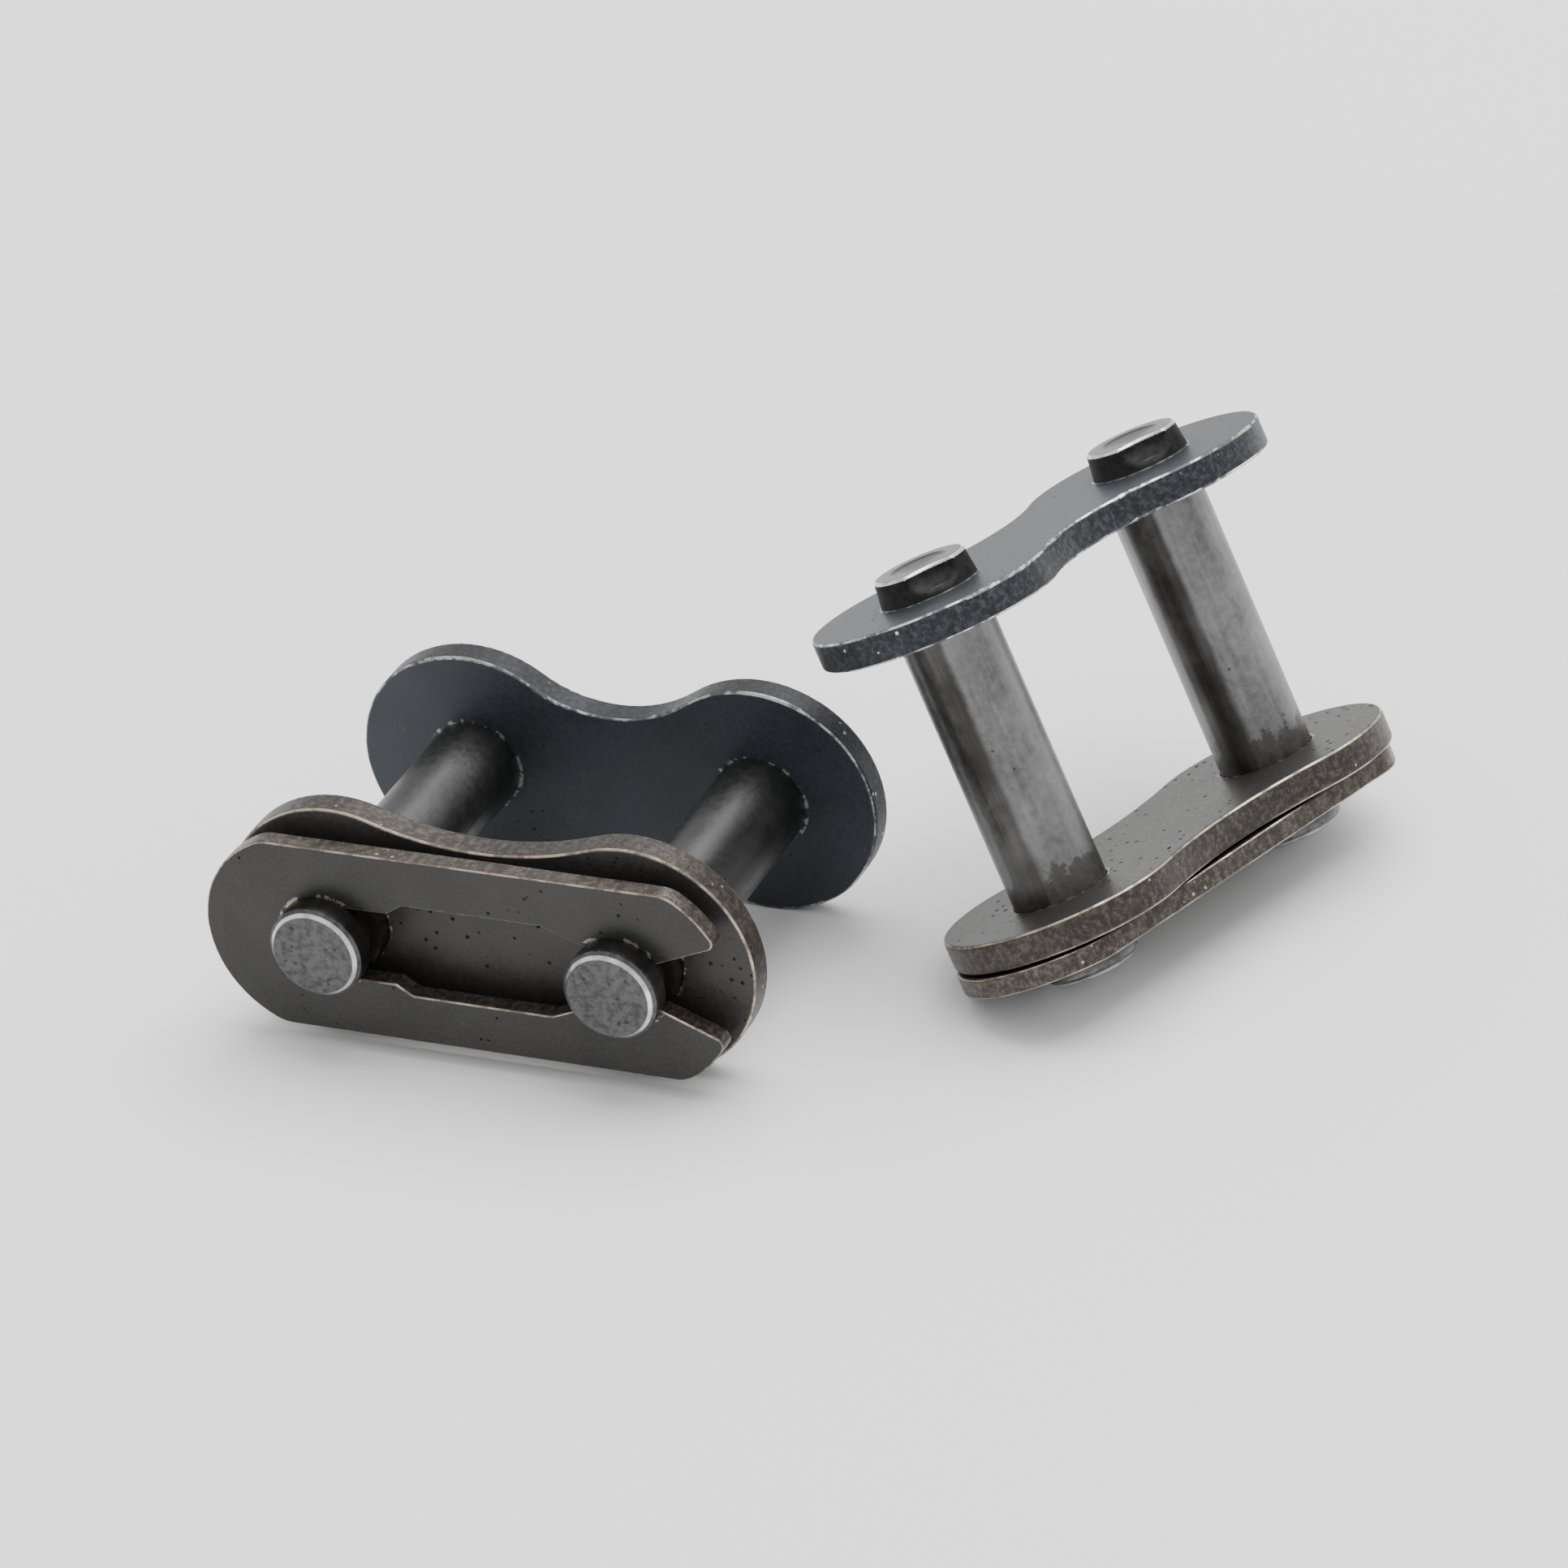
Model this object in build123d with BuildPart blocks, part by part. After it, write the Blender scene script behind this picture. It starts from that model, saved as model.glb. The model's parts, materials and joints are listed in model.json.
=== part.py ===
from build123d import *
import os
from math import atan2, cos, radians, sin, sqrt

os.makedirs("parts", exist_ok=True)

# Two spring-clip connecting links for a half-inch-pitch drive chain, in millimetres, +Z up.
# Both rest on the plane z = 0. Link A stands on the edges of its plates, with its pins level.
# Link B leans on the rims of its pin ends and on the long edge of its clip.
# The origin lies on that plane, under the middle of the pair.

# Chain size
PITCH = 12.7
PIN_RADIUS = 1.98
PLATE_THICKNESS = 1.25
LOBE_RADIUS = 5.05
PIN_PLATE_WAIST = 3.05
COVER_PLATE_WAIST = 3.98

# Levels along the pins, measured from their free ends
CLIP_LEVEL = 1.2
CLIP_THICKNESS = 0.85
COVER_LEVEL_A = 2.8
COVER_LEVEL_B = 2.15
PIN_PLATE_LEVEL = 15.25
HEAD_HEIGHT = 1.15

# Fits and rounded edges
COVER_HOLE_CLEARANCE = 0.04
GROOVE_SIDE_PLAY = 0.05
PLATE_EDGE_ROUNDING = 0.14
CLIP_EDGE_ROUNDING = 0.1

# Pins: free end, groove and riveted head
PIN_END_CHAMFER = 0.28
GROOVE_RADIUS = 1.5
HEAD_FOOT_RADIUS = 2.04
HEAD_RIM_RADIUS = 1.9
HEAD_RIM_ROUNDING = 0.18
HEAD_DISH_RADIUS = 1.2
HEAD_DISH_DEPTH = 0.2
STAKE_MARK_RADIUS = 2.1
STAKE_MARK_HALF_HEIGHT = 0.65
STAKE_MARK_DEPTH = 0.5
STAKE_MARK_DROP = 0.25
STAKE_MARK_BLEND = 0.25
STAKE_MARK_DIRECTION = radians(-118)

# Spring clip outline: half widths from the line through the pins, and places along it
CLIP_HALF_WIDTH = 4.2
CLIP_CLOSED_END = -11.6
CLIP_CLOSED_END_RADIUS = 4.5
CLIP_TIP_RADIUS = 4.8
CLIP_TIP_HALF_GAP = 2.15
CLIP_SEAT_RADIUS = 1.6
CLIP_SLOT_HALF_WIDTH = 2.06
CLIP_LIP_START = -3.5
CLIP_SLOT_START = -2.8
CLIP_SLOT_END = 3.2
CLIP_NARROW_START = 4.7
CLIP_NARROW_HALF_WIDTH = 1.45
CLIP_NECK_HALF_WIDTH = 1.05
CLIP_NECK_END = 8.0
CLIP_END_BLEND = 1.6
CLIP_SHOULDER_BLEND = 1.4
CLIP_TIP_BLEND = 0.35
CLIP_SLOT_BLEND = 0.3

# Where the links stand
LINK_A_PLACE = (-8.91, -16.26)
LINK_B_PLACE = (14.49, 2.84)
LINK_B_TURN = radians(69.5)

PIN_LENGTH = PIN_PLATE_LEVEL + PLATE_THICKNESS + HEAD_HEIGHT
PIN_END_RADIUS = PIN_RADIUS - PIN_END_CHAMFER
PIN_PLACES = (-PITCH / 2, PITCH / 2)
UPRIGHT = radians(90)
LINK_B_TILT = atan2(CLIP_LEVEL, CLIP_HALF_WIDTH - PIN_END_RADIUS)


def link_plane(place, height, turn, tilt):
    """A link's own plane: X runs from pin to pin, Z along the pins from their free ends."""
    return Plane(
        origin=(place[0], place[1], height),
        x_dir=(cos(turn), sin(turn), 0),
        z_dir=(-sin(turn) * sin(tilt), cos(turn) * sin(tilt), cos(tilt)),
    )


def plate_outline(waist):
    """Two round lobes joined by hollow waists, every arc tangent to the next."""
    waist_radius = ((PITCH / 2) ** 2 + waist**2 - LOBE_RADIUS**2) / (2 * (LOBE_RADIUS - waist))
    waist_centre = waist + waist_radius
    centre_distance = sqrt((PITCH / 2) ** 2 + waist_centre**2)
    join_x = PITCH / 2 * (1 - LOBE_RADIUS / centre_distance)
    join_y = waist_centre * LOBE_RADIUS / centre_distance
    reach = PITCH / 2 + LOBE_RADIUS
    with BuildLine() as outline:
        ThreePointArc((join_x, -join_y), (reach, 0), (join_x, join_y))
        ThreePointArc((join_x, join_y), (0, waist), (-join_x, join_y))
        ThreePointArc((-join_x, join_y), (-reach, 0), (-join_x, -join_y))
        ThreePointArc((-join_x, -join_y), (0, -waist), (join_x, -join_y))
    return outline.edges()


def make_plate(plane, level, waist, hole_radius):
    """A flat link plate with rounded face edges and two round holes."""
    with BuildPart() as plate:
        with BuildSketch(plane.offset(level)):
            make_face(plate_outline(waist))
        extrude(amount=PLATE_THICKNESS)
        fillet(plate.faces().filter_by(GeomType.PLANE).edges(), radius=PLATE_EDGE_ROUNDING)
        with BuildSketch(plane.offset(level)):
            with Locations(*[(x, 0) for x in PIN_PLACES]):
                Circle(hole_radius)
        extrude(amount=PLATE_THICKNESS, mode=Mode.SUBTRACT)
    return plate.part


def pin_profile():
    """Half of a pin's section, with X as the radius and Y along the pin."""
    groove_start = CLIP_LEVEL - GROOVE_SIDE_PLAY
    groove_end = CLIP_LEVEL + CLIP_THICKNESS + GROOVE_SIDE_PLAY
    plate_top = PIN_PLATE_LEVEL + PLATE_THICKNESS
    dish_floor = PIN_LENGTH - HEAD_DISH_DEPTH
    with BuildLine() as profile:
        Polyline(
            (0, dish_floor),
            (0, 0),
            (PIN_END_RADIUS, 0),
            (PIN_RADIUS, PIN_END_CHAMFER),
            (PIN_RADIUS, groove_start),
            (GROOVE_RADIUS, groove_start),
            (GROOVE_RADIUS, groove_end),
            (PIN_RADIUS, groove_end),
            (PIN_RADIUS, plate_top),
            (HEAD_FOOT_RADIUS, plate_top),
            (HEAD_RIM_RADIUS, PIN_LENGTH),
            (HEAD_DISH_RADIUS, PIN_LENGTH),
        )
        TangentArc((0, dish_floor), (HEAD_DISH_RADIUS, PIN_LENGTH), tangent=(1, 0))
    return profile.edges()


def make_pin(plane, x):
    """A pin turned about its own axis: grooved free end, plain shank, riveted and dished head.

    The riveting tool leaves a round hollow in one side of the head's rim.
    """
    section = Plane(
        origin=plane.from_local_coords((x, 0, 0)),
        x_dir=plane.x_dir,
        z_dir=-plane.y_dir,
    )
    with BuildPart() as pin:
        with BuildSketch(section):
            make_face(pin_profile())
        pin_axis = Axis(section.origin, plane.z_dir)
        revolve(axis=pin_axis)
        mark_offset = HEAD_RIM_RADIUS - STAKE_MARK_DEPTH + STAKE_MARK_RADIUS
        mark_x = x + mark_offset * cos(STAKE_MARK_DIRECTION)
        mark_y = mark_offset * sin(STAKE_MARK_DIRECTION)
        mark_centre = plane.from_local_coords((mark_x, mark_y, PIN_LENGTH - STAKE_MARK_DROP))
        with Locations(Plane(mark_centre, x_dir=plane.x_dir, z_dir=plane.z_dir)):
            Torus(
                STAKE_MARK_RADIUS - STAKE_MARK_HALF_HEIGHT,
                STAKE_MARK_HALF_HEIGHT,
                mode=Mode.SUBTRACT,
            )
        fillet(pin.edges(Select.LAST).sort_by(pin_axis)[0], radius=STAKE_MARK_BLEND)
        head_top = pin.faces().filter_by(GeomType.PLANE).sort_by(pin_axis)[-1]
        fillet(head_top.outer_wire().edges(), radius=HEAD_RIM_ROUNDING)
    return pin.part


def make_clip(plane):
    """A flat spring clip: closed round end, two legs, necks that snap past the pin grooves."""
    end_centre = CLIP_CLOSED_END + CLIP_CLOSED_END_RADIUS
    end_corner = end_centre - sqrt(CLIP_CLOSED_END_RADIUS**2 - CLIP_HALF_WIDTH**2)
    shoulder = PITCH / 2 + sqrt(CLIP_TIP_RADIUS**2 - CLIP_HALF_WIDTH**2)
    tip = PITCH / 2 + sqrt(CLIP_TIP_RADIUS**2 - CLIP_TIP_HALF_GAP**2)
    neck_start = PITCH / 2 + sqrt(CLIP_SEAT_RADIUS**2 - CLIP_NECK_HALF_WIDTH**2)
    narrow_end = PITCH / 2 - sqrt(CLIP_SEAT_RADIUS**2 - CLIP_NARROW_HALF_WIDTH**2)
    seat_back = -PITCH / 2 - CLIP_SEAT_RADIUS
    corners = [
        (end_corner, CLIP_HALF_WIDTH, CLIP_END_BLEND),
        (shoulder, CLIP_HALF_WIDTH, CLIP_SHOULDER_BLEND),
        (tip, CLIP_TIP_HALF_GAP, CLIP_TIP_BLEND),
        (CLIP_SLOT_START, CLIP_SLOT_HALF_WIDTH, CLIP_SLOT_BLEND),
        (CLIP_SLOT_END, CLIP_SLOT_HALF_WIDTH, CLIP_SLOT_BLEND),
    ]
    with BuildPart() as clip:
        with BuildSketch(plane.offset(CLIP_LEVEL)) as outline:
            with BuildLine():
                Line((seat_back, 0), (CLIP_CLOSED_END, 0))
                RadiusArc(
                    (CLIP_CLOSED_END, 0), (end_corner, CLIP_HALF_WIDTH), CLIP_CLOSED_END_RADIUS
                )
                Line((end_corner, CLIP_HALF_WIDTH), (shoulder, CLIP_HALF_WIDTH))
                RadiusArc(
                    (shoulder, CLIP_HALF_WIDTH), (tip, CLIP_TIP_HALF_GAP), CLIP_TIP_RADIUS
                )
                Polyline(
                    (tip, CLIP_TIP_HALF_GAP),
                    (CLIP_NECK_END, CLIP_NECK_HALF_WIDTH),
                    (neck_start, CLIP_NECK_HALF_WIDTH),
                )
                ThreePointArc(
                    (neck_start, CLIP_NECK_HALF_WIDTH),
                    (PITCH / 2, CLIP_SEAT_RADIUS),
                    (narrow_end, CLIP_NARROW_HALF_WIDTH),
                )
                Polyline(
                    (narrow_end, CLIP_NARROW_HALF_WIDTH),
                    (CLIP_NARROW_START, CLIP_NARROW_HALF_WIDTH),
                    (CLIP_SLOT_END, CLIP_SLOT_HALF_WIDTH),
                    (CLIP_SLOT_START, CLIP_SLOT_HALF_WIDTH),
                    (CLIP_LIP_START, CLIP_SEAT_RADIUS),
                    (-PITCH / 2, CLIP_SEAT_RADIUS),
                )
                RadiusArc((-PITCH / 2, CLIP_SEAT_RADIUS), (seat_back, 0), -CLIP_SEAT_RADIUS)
            make_face()
            mirror(about=Plane.XZ)
            for x, half_width, blend in corners:
                for y in (-half_width, half_width):
                    fillet(outline.vertices().sort_by_distance((x, y))[0], radius=blend)
        extrude(amount=CLIP_THICKNESS)
        broad_faces = clip.faces().group_by(SortBy.AREA)[-1]
        fillet(broad_faces.edges(), radius=CLIP_EDGE_ROUNDING)
    return clip.part


def make_link(name, plane, cover_level):
    """All the pieces of one connecting link, each exported under its own name."""
    pieces = {
        "pin_plate": make_plate(plane, PIN_PLATE_LEVEL, PIN_PLATE_WAIST, PIN_RADIUS),
        "left_pin": make_pin(plane, PIN_PLACES[0]),
        "right_pin": make_pin(plane, PIN_PLACES[1]),
        "cover_plate": make_plate(
            plane, cover_level, COVER_PLATE_WAIST, PIN_RADIUS + COVER_HOLE_CLEARANCE
        ),
        "spring_clip": make_clip(plane),
    }
    for piece, part in pieces.items():
        part.label = f"{name}_{piece}"
        export_step(part, f"parts/{name}_{piece}.step")


link_a_plane = link_plane(LINK_A_PLACE, LOBE_RADIUS, 0, UPRIGHT)
link_b_plane = link_plane(
    LINK_B_PLACE, PIN_END_RADIUS * sin(LINK_B_TILT), LINK_B_TURN, LINK_B_TILT
)
make_link("link_a", link_a_plane, COVER_LEVEL_A)
make_link("link_b", link_b_plane, COVER_LEVEL_B)
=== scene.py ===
import json
from math import cos, radians, sin

import bpy
from mathutils import Matrix, Vector


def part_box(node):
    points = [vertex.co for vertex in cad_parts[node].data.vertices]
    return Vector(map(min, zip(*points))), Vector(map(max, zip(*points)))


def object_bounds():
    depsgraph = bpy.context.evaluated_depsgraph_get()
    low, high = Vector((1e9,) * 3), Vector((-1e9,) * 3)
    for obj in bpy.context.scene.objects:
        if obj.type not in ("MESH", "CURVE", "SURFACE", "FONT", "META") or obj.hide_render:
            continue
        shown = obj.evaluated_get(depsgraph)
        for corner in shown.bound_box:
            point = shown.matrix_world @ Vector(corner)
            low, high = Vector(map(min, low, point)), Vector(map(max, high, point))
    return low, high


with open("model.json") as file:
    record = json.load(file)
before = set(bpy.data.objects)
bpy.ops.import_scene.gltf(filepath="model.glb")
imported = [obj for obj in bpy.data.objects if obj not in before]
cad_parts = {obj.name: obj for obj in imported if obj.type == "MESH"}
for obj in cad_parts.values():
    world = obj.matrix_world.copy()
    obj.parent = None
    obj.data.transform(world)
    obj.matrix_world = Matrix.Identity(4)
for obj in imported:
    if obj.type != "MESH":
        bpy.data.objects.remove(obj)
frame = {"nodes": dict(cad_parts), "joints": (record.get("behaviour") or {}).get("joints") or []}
cad_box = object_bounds()

# All lengths are in metres. Two connecting links of a roller chain lie on a pale table.
MM = 0.001
LOW, HIGH = (Vector(corner) for corner in cad_box)
MIDDLE = (LOW + HIGH) / 2

# Camera: where it looks from, and how far away
CAMERA_AZIMUTH = radians(-25.76)
CAMERA_ELEVATION = radians(30.0)
CAMERA_ROLL = radians(6.14)
CAMERA_DISTANCE = 259.8 * MM
CAMERA_LENS = 151.8
CAMERA_SENSOR = 36.0
CAMERA_CLIP_START = 0.01
CAMERA_AIM = MIDDLE + Vector((0.71, -5.4, 0.0)) * MM

# Table and light
TABLE_SIZE = 2.0
TABLE_COLOUR = (0.95, 0.95, 0.95, 1)
TABLE_ROUGHNESS = 0.9
SURROUND = 1.05
SOFTBOX_AZIMUTH = radians(20)
SOFTBOX_ELEVATION = radians(70)
SOFTBOX_DISTANCE = 0.5
SOFTBOX_SIZE = 0.5
SOFTBOX_POWER = 3.8

# Places on a link, in millimetres; those along a pin are measured from its free end
PIN_RADIUS = 1.98
HALF_PITCH = 6.35
SCRAPE_WIDTH = 0.12
FREE_END = (0.5, 0.3)
# the shanks are darker from the free end to about here, next to the cover plate
DARKENING_END = 4.6
PIN_PLATE_MIDDLE = 15.875
HEAD_START = 16.5
HEAD_START_FADE = 0.05
HEAD_RIM = 17.47
HEAD_RIM_FADE = 0.04

# Rings on a pin, as distances from its axis in millimetres
END_RING = (1.74, 1.83)
# the dish ring is where painted shade darkens the edge of the head's dish
DISH_SHADE_RING = (1.02, 1.16)

# Colours that several finishes share
PIT_COLOUR = (0.006, 0.006, 0.007, 1)
RUST_COLOUR = (0.10, 0.045, 0.02, 1)
# The next colour darkens the pins: painted shade and a painted dark reflection along the shanks,
# painted shade at the edge of each head's dish, and a darker patch next to the cover plate
SHADE_AND_DARKENING_COLOUR = (0.026, 0.022, 0.018, 1)
POLISHED_COLOUR = (0.71, 0.71, 0.72, 1)

# Relief that both kinds of steel share, and the pins' metal
BUMP_STRENGTH = 0.35
BUMP_DISTANCE = 0.03 * MM
PIN_METALLIC = 0.9
PIN_LEAST_ROUGHNESS = 0.2

# Nearly all of a noise's values lie between these
NOISE_LOW = 0.3
NOISE_HIGH = 0.7

# Noises: size in millimetres, detail and roughness
PLATE_CLOUDS = (3.2, 3.0, 0.55)
PLATE_GRAIN = (0.15, 3.0, 0.6)
PLATE_SPECKLE = (0.24, 4.0, 0.75)
PLATE_WEAR = (1.1, 4.0, 0.7)
SHEAR_MARKS = (0.2, 2.0, 0.6)
PIN_MOTTLE = (0.35, 4.0, 0.7)
PIN_CLOUDS = (2.4, 2.0, 0.5)
PIN_STREAKS = (0.35, 3.0, 0.6)
# The next two noises roughen the edges of the painted dark band along a shank and of the darker patch
# next to the cover plate
SHADE_BAND_WANDER = (1.6, 2.0, 0.5)
DARKENING_EDGE = (0.6, 4.0, 0.7)

# Places are scaled by these along the pins, which draws a noise out in that direction
SHEAR_SCALE = 0.15
STREAK_SCALE = 0.03

# Spots: spacing and radius in millimetres, share, and size of their patches
PLATE_PIT_SPACING = 0.55
PLATE_PIT_PATCH = 2.4
PLATE_RUST = (0.7, 0.11, 0.12, 1.6)
PLATE_NICKS = (0.6, 0.09, 0.35, 1.3)
PIN_PITS = (0.6, 0.075, 0.25, 1.4)
PIN_END_PITS = (0.4, 0.10, 0.6, 0.8)
PIN_RUST = (0.6, 0.1, 0.2, 1.4)

# Ranges of tilt, which is 1 on a face square to the pins and 0 on a side along them
PLATE_FACE = (0.90, 0.99)
PLATE_SIDE = (0.45, 0.10)
PLATE_CORNER = (0.45, 0.86)
PLATE_CORNER_FADE = 0.12
PIN_FACE = (0.88, 0.96)
PIN_CHAMFER = (0.98, 0.90)
HEAD_WALL = (0.96, 0.90)
HEAD_RIM_CURVE = (0.3, 0.90)


# ---------------------------------------------------------------- camera, table and light

def direction(azimuth, elevation):
    """A unit vector: azimuth 0 points along +Y and turns towards +X."""
    return Vector((
        sin(azimuth) * cos(elevation),
        cos(azimuth) * cos(elevation),
        sin(elevation),
    ))


def make_camera():
    """The camera looks down a long lens at the middle of the pair, and is tilted a little."""
    data = bpy.data.cameras.new("camera")
    data.lens = CAMERA_LENS
    data.sensor_width = CAMERA_SENSOR
    data.clip_start = CAMERA_CLIP_START
    camera = bpy.data.objects.new("camera", data)
    forward = direction(CAMERA_AZIMUTH, -CAMERA_ELEVATION)
    camera.location = CAMERA_AIM - CAMERA_DISTANCE * forward
    level = forward.to_track_quat("-Z", "Y").to_matrix()
    camera.rotation_euler = (level @ Matrix.Rotation(-CAMERA_ROLL, 3, "Z")).to_euler()
    bpy.context.scene.collection.objects.link(camera)
    bpy.context.scene.camera = camera


def make_table():
    """A plain pale table."""
    bpy.ops.mesh.primitive_plane_add(size=TABLE_SIZE, location=(0, 0, LOW.z))
    table = bpy.context.object
    table.name = "table"
    material = bpy.data.materials.new("table")
    material.use_nodes = True
    shader = material.node_tree.nodes["Principled BSDF"]
    shader.inputs["Base Color"].default_value = TABLE_COLOUR
    shader.inputs["Roughness"].default_value = TABLE_ROUGHNESS
    table.data.materials.append(material)


def make_light(name, azimuth, elevation, distance, size, power):
    """A square softbox in that direction from the pair, facing it."""
    data = bpy.data.lights.new(name, "AREA")
    data.size = size
    data.energy = power
    light = bpy.data.objects.new(name, data)
    away = direction(azimuth, elevation)
    light.location = MIDDLE + distance * away
    light.rotation_euler = (-away).to_track_quat("-Z", "Y").to_euler()
    bpy.context.scene.collection.objects.link(light)


def make_surround():
    """An even white surround."""
    world = bpy.data.worlds.new("surround")
    world.use_nodes = True
    background = world.node_tree.nodes["Background"]
    background.inputs["Color"].default_value = (1, 1, 1, 1)
    background.inputs["Strength"].default_value = SURROUND
    bpy.context.scene.world = world


# ---------------------------------------------------------------- node helpers

def add(tree, kind, inputs=None, **settings):
    """A node with its settings, and with each input set to a value or linked to a socket."""
    made = tree.nodes.new(kind)
    for name, value in settings.items():
        setattr(made, name, value)
    for name, value in (inputs or {}).items():
        if isinstance(value, bpy.types.NodeSocket):
            tree.links.new(value, made.inputs[name])
        else:
            made.inputs[name].default_value = value
    return made


def calc(tree, operation, first, *others):
    """The operation on the first value and the second, then on that and the third, and so on."""
    result = first
    for other in others or (0.0,):
        result = add(tree, "ShaderNodeMath", {0: result, 1: other}, operation=operation).outputs[0]
    return result


def product(tree, *factors):
    return calc(tree, "MULTIPLY", *factors)


def total(tree, *terms):
    return calc(tree, "ADD", *terms)


def vector_calc(tree, operation, first, second):
    made = add(tree, "ShaderNodeVectorMath", {0: first, 1: second}, operation=operation)
    return made.outputs["Value" if operation == "DOT_PRODUCT" else "Vector"]


def ramp(tree, value, low, high, start=0.0, end=1.0):
    """A smooth step from start to end as the value goes from low to high."""
    made = add(
        tree, "ShaderNodeMapRange", {0: value, 1: low, 2: high, 3: start, 4: end},
        interpolation_type="SMOOTHSTEP",
    )
    return made.outputs[0]


def spread(tree, value, start=0.0, end=1.0):
    """A noise's values, stretched to run from start to end."""
    return ramp(tree, value, NOISE_LOW, NOISE_HIGH, start, end)


def band(tree, value, low, high, soft):
    """1 between low and high, falling softly to 0 outside them."""
    return product(
        tree, ramp(tree, value, low - soft, low), ramp(tree, value, high + soft, high)
    )


def blend(tree, factor, first, second):
    """From the first colour to the second as the factor goes from 0 to 1."""
    made = add(
        tree, "ShaderNodeMix", {"Factor": factor, 6: first, 7: second}, data_type="RGBA"
    )
    return made.outputs[2]


def noise(tree, place, size, detail=2.0, roughness=0.5):
    """Cloudy variation whose features are about that many millimetres across."""
    made = add(
        tree, "ShaderNodeTexNoise",
        {"Vector": place, "Scale": 1 / size, "Detail": detail, "Roughness": roughness},
    )
    return made.outputs["Fac"]


def combine(tree, x, y, z):
    return add(tree, "ShaderNodeCombineXYZ", {0: x, 1: y, 2: z}).outputs[0]


def bump(tree, height):
    """The shading normal of a surface with that fine relief."""
    inputs = {"Height": height, "Strength": BUMP_STRENGTH, "Distance": BUMP_DISTANCE}
    return add(tree, "ShaderNodeBump", inputs).outputs[0]


def spots(tree, place, spacing, radius, share, patch):
    """1 in small round spots and 0 between them.

    The spots lie in patches of the given size, which cover about that share of the surface.
    """
    cells = add(tree, "ShaderNodeTexVoronoi", {"Vector": place, "Scale": 1 / spacing})
    round_spot = ramp(tree, cells.outputs["Distance"], radius / spacing, 0.6 * radius / spacing)
    patches = noise(tree, place, patch)
    # the noise is above 0.68 almost nowhere, and above 0.32 almost everywhere
    edge = 0.68 - 0.36 * share
    return product(tree, round_spot, ramp(tree, patches, edge, edge + 0.04))


# ---------------------------------------------------------------- each link's own directions

def joint_axis(name):
    return Vector(next(joint["axis"] for joint in frame["joints"] if joint["name"] == name))


def node_middle(node):
    low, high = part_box(node)
    return (low + high) / 2


class Link:
    """Where one link lies: X from pin to pin, Z along its pins, from their free ends to the heads."""

    def __init__(self, letter):
        self.letter = letter
        x = joint_axis(f"clip_{letter}_slide")
        z = joint_axis(f"cover_{letter}_slide")
        self.axes = (x, z.cross(x), z)
        self.origin = node_middle(f"link_{letter}_pin_plate") - PIN_PLATE_MIDDLE * MM * z

    def resolve(self, tree, vector, unit):
        """The vector's parts along the link's own axes, in that unit, together and apart."""
        parts = [vector_calc(tree, "DOT_PRODUCT", vector, axis / unit) for axis in self.axes]
        return combine(tree, *parts), parts

    def place(self, tree):
        """The place on the surface, in millimetres."""
        coordinates = add(tree, "ShaderNodeTexCoord").outputs["Object"]
        return self.resolve(tree, vector_calc(tree, "SUBTRACT", coordinates, self.origin), MM)

    def facing(self, tree):
        """The way that the surface faces."""
        return self.resolve(tree, add(tree, "ShaderNodeTexCoord").outputs["Normal"], 1)


# ---------------------------------------------------------------- materials

def new_material(name):
    """A node material, its tree and its shader."""
    material = bpy.data.materials.new(name)
    material.use_nodes = True
    tree = material.node_tree
    return material, tree, tree.nodes["Principled BSDF"]


def pin_distance(tree, x, y):
    """How far a place is from the axis of the nearer pin."""
    along = calc(tree, "SUBTRACT", calc(tree, "ABSOLUTE", x), HALF_PITCH)
    return calc(tree, "SQRT", total(tree, product(tree, along, along), product(tree, y, y)))


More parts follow.
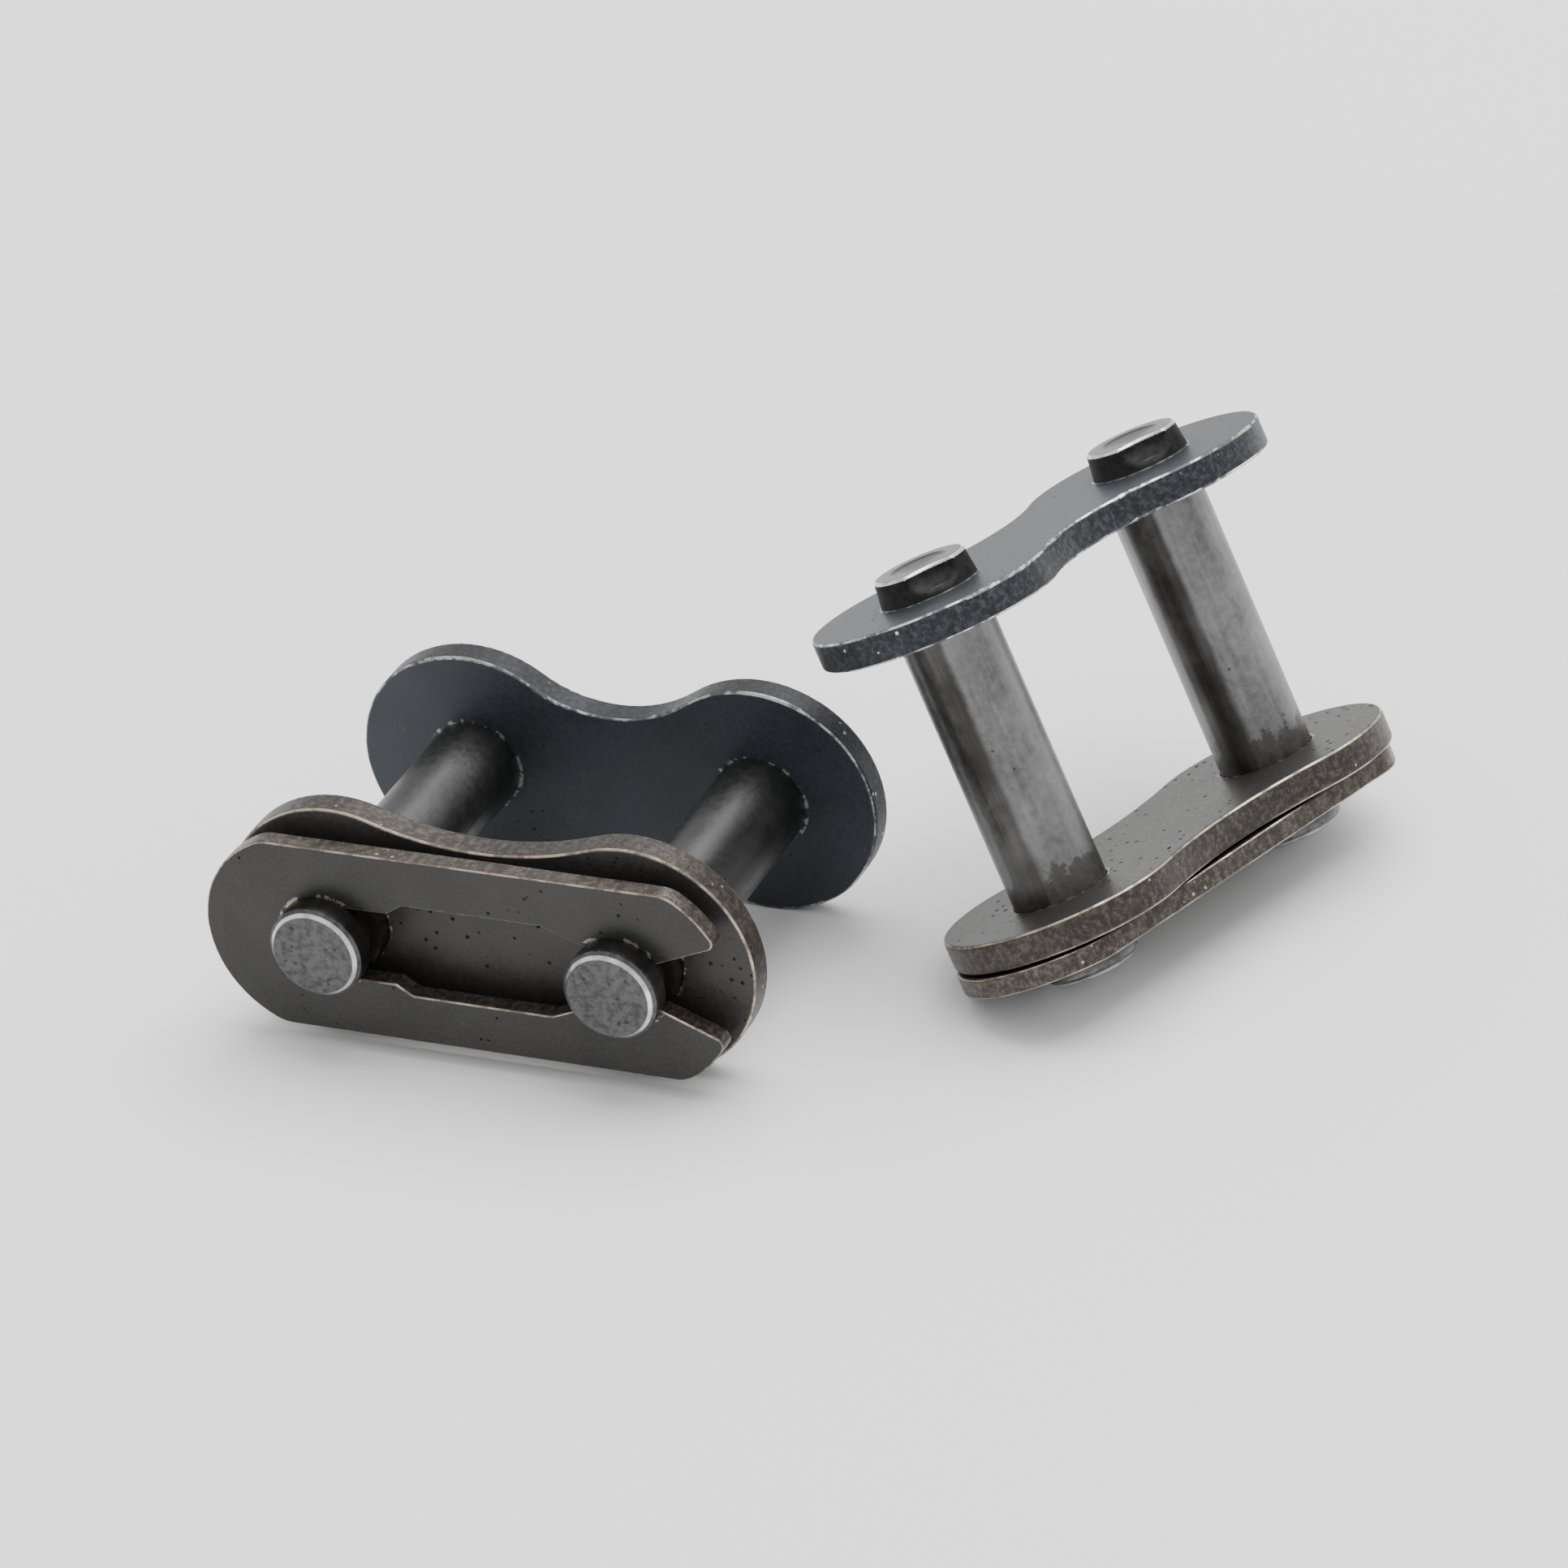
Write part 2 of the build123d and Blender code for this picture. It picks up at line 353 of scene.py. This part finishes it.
def plate_steel(name, link, face, side, wear_and_highlight, metallic, roughness, highlight_line, pits, pit_radius):
    """Oxide-blackened steel strip: even faces, speckled sheared sides, corners bright from wear and
    from a painted highlight along them.

    face and side are each a darker and a lighter colour; the colour for wear is that of uncoated metal,
    and it also paints a highlight along the corners. The least strength along the corners gives their
    wear and painted highlight where they are faintest, pits how much of the faces is pitted, and
    pit_radius in millimetres.
    """
    material, tree, shader = new_material(name)
    place, (x, y, z) = link.place(tree)
    _, (_, _, up) = link.facing(tree)
    tilt = calc(tree, "ABSOLUTE", up)
    flat = ramp(tree, tilt, *PLATE_FACE)
    on_side = ramp(tree, tilt, *PLATE_SIDE)
    corner = band(tree, tilt, *PLATE_CORNER, PLATE_CORNER_FADE)

    clouds = noise(tree, place, *PLATE_CLOUDS)
    grain = noise(tree, place, *PLATE_GRAIN)
    speckle = noise(tree, place, *PLATE_SPECKLE)
    drawn = combine(tree, x, y, product(tree, z, SHEAR_SCALE))
    shear_marks = noise(tree, drawn, *SHEAR_MARKS)

    face_tone = total(
        tree, spread(tree, clouds, 0.0, 0.45), ramp(tree, grain, 0.35, 0.65, 0.0, 0.55)
    )
    side_tone = total(
        tree, ramp(tree, speckle, 0.42, 0.66, 0.0, 0.8), ramp(tree, shear_marks, 0.4, 0.7, 0.0, 0.2)
    )
    oxide = blend(
        tree, on_side, blend(tree, face_tone, *face), blend(tree, side_tone, *side)
    )
    pits = spots(tree, place, PLATE_PIT_SPACING, pit_radius, pits, PLATE_PIT_PATCH)
    pitted = product(tree, pits, flat)
    oxide = blend(tree, product(tree, pitted, 0.85), oxide, PIT_COLOUR)
    rusted = spots(tree, place, *PLATE_RUST)
    oxide = blend(tree, product(tree, rusted, 0.7), oxide, RUST_COLOUR)

    # uncoated metal: corners bright from wear and a painted highlight, nicks on the sides, and a
    # scraped ring round each pin
    patches = noise(tree, place, *PLATE_WEAR)
    # partly wear and partly a painted highlight: a faint bright line along every corner, stronger in
    # patches
    rubbed_and_highlight = product(tree, corner, ramp(tree, patches, 0.42, 0.60, highlight_line, 1.0))
    nicks = product(tree, spots(tree, place, *PLATE_NICKS), on_side)
    ring = product(
        tree, band(tree, pin_distance(tree, x, y), PIN_RADIUS, PIN_RADIUS + SCRAPE_WIDTH, 0.06), flat
    )
    scraped = product(tree, ring, ramp(tree, noise(tree, place, 0.35), 0.50, 0.62, 0.0, 0.6))
    bare_and_highlight = calc(tree, "MAXIMUM", rubbed_and_highlight, nicks, scraped)

    tree.links.new(blend(tree, bare_and_highlight, oxide, wear_and_highlight), shader.inputs["Base Color"])
    tree.links.new(calc(tree, "MAXIMUM", bare_and_highlight, metallic), shader.inputs["Metallic"])
    uneven = ramp(tree, grain, 0.25, 0.75, roughness - 0.05, roughness + 0.07)
    tree.links.new(
        total(tree, uneven, product(tree, pitted, 0.5), product(tree, bare_and_highlight, -0.1)),
        shader.inputs["Roughness"],
    )
    height = total(
        tree, product(tree, grain, 0.3), product(tree, speckle, on_side, 1.6),
        product(tree, pitted, -2.0),
    )
    tree.links.new(bump(tree, height), shader.inputs["Normal"])
    return material


def pin_steel(name, link, shank, end, head, shade_band_direction, shade_band_half_width, shade_band_strength):
    """Uncoated heat-treated steel: a painted dark band along the shank, which is painted shade and a
    painted dark reflection, and a riveted head with a bright rim.

    shank, end and head are each a darker and a lighter colour. The painted dark band's direction and
    half width are angles round the pin, in radians.
    """
    material, tree, shader = new_material(name)
    place, (x, y, z) = link.place(tree)
    _, (face_x, face_y, up) = link.facing(tree)
    tilt = calc(tree, "ABSOLUTE", up)
    flat = ramp(tree, tilt, *PIN_FACE)
    at_end = ramp(tree, z, *FREE_END)
    on_head = ramp(tree, z, HEAD_START, HEAD_START + HEAD_START_FADE)
    distance = pin_distance(tree, x, y)

    mottle = noise(tree, place, *PIN_MOTTLE)
    clouds = noise(tree, place, *PIN_CLOUDS)
    drawn = combine(tree, face_x, face_y, product(tree, z, STREAK_SCALE))
    streaks = noise(tree, drawn, *PIN_STREAKS)
    tone = total(
        tree, spread(tree, mottle, 0.0, 0.3), spread(tree, clouds, 0.0, 0.3),
        spread(tree, streaks, 0.0, 0.4),
    )
    steel = blend(tree, tone, *shank)

    # painted shade and a painted dark reflection in a long band on one side of the shank, and a darker
    # patch next to the cover plate
    toward = total(
        tree, product(tree, face_x, cos(shade_band_direction)), product(tree, face_y, sin(shade_band_direction))
    )
    wander = spread(tree, noise(tree, place, *SHADE_BAND_WANDER), -0.006, 0.006)
    limit = cos(shade_band_half_width)
    painted_dark_band = product(
        tree, ramp(tree, total(tree, toward, wander), limit - 0.03, limit + 0.03),
        ramp(tree, total(tree, streaks, clouds), 0.7, 1.3, shade_band_strength, 0.6 * shade_band_strength),
    )
    # darker next to the cover plate, up to a ragged edge
    ragged = total(tree, z, spread(tree, noise(tree, place, *DARKENING_EDGE), -0.6, 0.6))
    near_cover_darkening = ramp(tree, ragged, DARKENING_END + 0.2, DARKENING_END - 0.2, 0.0, 0.55)
    steel = blend(tree, calc(tree, "MAXIMUM", painted_dark_band, near_cover_darkening), steel, SHADE_AND_DARKENING_COLOUR)

    end_tone = total(
        tree, ramp(tree, mottle, 0.36, 0.60, 0.0, 0.75), spread(tree, clouds, 0.0, 0.25)
    )
    steel = blend(tree, at_end, steel, blend(tree, end_tone, *end))
    head_tone = total(tree, product(tree, end_tone, 0.15), product(tree, flat, 0.85))
    steel = blend(tree, on_head, steel, blend(tree, head_tone, *head))
    # painted shade: a dark ring at the edge of the head's dish
    dish_edge_shade = product(tree, band(tree, distance, *DISH_SHADE_RING, 0.08), on_head, flat, 0.7)
    steel = blend(tree, dish_edge_shade, steel, SHADE_AND_DARKENING_COLOUR)

    pitted = calc(
        tree, "MAXIMUM", spots(tree, place, *PIN_PITS),
        product(tree, spots(tree, place, *PIN_END_PITS), at_end, 0.7),
    )
    steel = blend(tree, product(tree, pitted, 0.75), steel, PIT_COLOUR)
    rusted = spots(tree, place, *PIN_RUST)
    steel = blend(tree, product(tree, rusted, 0.5), steel, RUST_COLOUR)

    # polished metal: a ring on the free end's chamfer, and the rim of the head
    ring = product(
        tree, band(tree, distance, *END_RING, 0.04), at_end, ramp(tree, tilt, *PIN_CHAMFER)
    )
    rim = product(
        tree, ramp(tree, z, HEAD_RIM - HEAD_RIM_FADE, HEAD_RIM), band(tree, tilt, *HEAD_RIM_CURVE, 0.04)
    )
    polished = product(
        tree, calc(tree, "MAXIMUM", ring, rim), ramp(tree, noise(tree, place, 0.6), 0.35, 0.6, 0.6, 1.0)
    )
    tree.links.new(blend(tree, polished, steel, POLISHED_COLOUR), shader.inputs["Base Color"])
    shader.inputs["Metallic"].default_value = PIN_METALLIC
    head_wall = product(tree, on_head, ramp(tree, tilt, *HEAD_WALL))
    roughness = total(
        tree, ramp(tree, mottle, 0.25, 0.75, 0.34, 0.46), product(tree, head_wall, 0.28),
        product(tree, polished, -0.42),
    )
    tree.links.new(calc(tree, "MAXIMUM", roughness, PIN_LEAST_ROUGHNESS), shader.inputs["Roughness"])
    height = total(tree, product(tree, mottle, 0.7), product(tree, pitted, -1.2))
    tree.links.new(bump(tree, height), shader.inputs["Normal"])
    return material


def grey(value, red=1.0, blue=1.0):
    """A grey of that brightness, tinted by scaling its red and blue."""
    return (value * red, value, value * blue, 1)


def dress(link, side, wear_and_highlight, shank, end, head, shade_bands):
    """Each piece of the link gets its own finish.

    side and the wear value are how light the pin plate's sides and its corners are, the corners' colour
    being wear and a
    painted highlight. The last argument gives each pin's painted dark band, painted shade and a painted
    dark reflection:
    its direction and half width in degrees, and its strength.
    """
    prefix = f"link_{link.letter}"
    finishes = {
        "pin_plate": plate_steel(
            f"{prefix}_blued_plate", link,
            face=(grey(0.022, 0.80, 1.27), grey(0.040, 0.82, 1.24)),
            side=(grey(0.004, 0.8, 1.3), grey(side, 0.82, 1.25)),
            wear_and_highlight=grey(wear_and_highlight, 0.98, 1.03), metallic=0.3, roughness=0.44, highlight_line=0.08,
            pits=0.2, pit_radius=0.085,
        ),
        "cover_plate": plate_steel(
            f"{prefix}_bronze_cover", link,
            face=(grey(0.030, 1.06, 0.92), grey(0.050, 1.06, 0.92)),
            side=(grey(0.018, 1.2, 0.85), grey(0.075, 1.2, 0.85)),
            wear_and_highlight=grey(0.42, 1.2, 0.80), metallic=0.5, roughness=0.42, highlight_line=0.25,
            pits=0.75, pit_radius=0.11,
        ),
        "spring_clip": plate_steel(
            f"{prefix}_bronze_clip", link,
            face=(grey(0.025, 1.03, 0.97), grey(0.040, 1.03, 0.97)),
            side=(grey(0.028, 1.2, 0.85), grey(0.105, 1.2, 0.85)),
            wear_and_highlight=grey(0.42, 1.2, 0.80), metallic=0.6, roughness=0.36, highlight_line=0.25,
            pits=0.25, pit_radius=0.09,
        ),
    }
    for name, (shade_band_direction, shade_band_half_width, shade_band_strength) in shade_bands.items():
        finishes[f"{name}_pin"] = pin_steel(
            f"{prefix}_{name}_pin_steel", link, shank, end, head,
            radians(shade_band_direction), radians(shade_band_half_width), shade_band_strength,
        )
    for piece, material in finishes.items():
        frame["nodes"][f"{prefix}_{piece}"].data.materials[0] = material


make_camera()
make_table()
make_surround()
make_light(
    "softbox_top", SOFTBOX_AZIMUTH, SOFTBOX_ELEVATION, SOFTBOX_DISTANCE, SOFTBOX_SIZE, SOFTBOX_POWER
)
# Link a's pins are given darker colours than link b's: painted shade, for shanks that lie in shade
# between the plates. Its pins' dark bands are painted shade.
dress(
    Link("a"), side=0.030, wear_and_highlight=0.48,
    shank=(grey(0.05), grey(0.09)), end=(grey(0.045), grey(0.105)),
    head=(grey(0.015), grey(0.17)), shade_bands={"left": (345, 25, 0.1), "right": (345, 25, 0.1)},
)
# Link b's lighter corners are a painted highlight, and its pins' dark bands are painted dark
# reflections.
dress(
    Link("b"), side=0.052, wear_and_highlight=0.75,
    shank=(grey(0.10), grey(0.28)), end=(grey(0.09), grey(0.19)),
    head=(grey(0.015), grey(0.17)), shade_bands={"left": (197, 20, 0.9), "right": (196, 23, 0.88)},
)
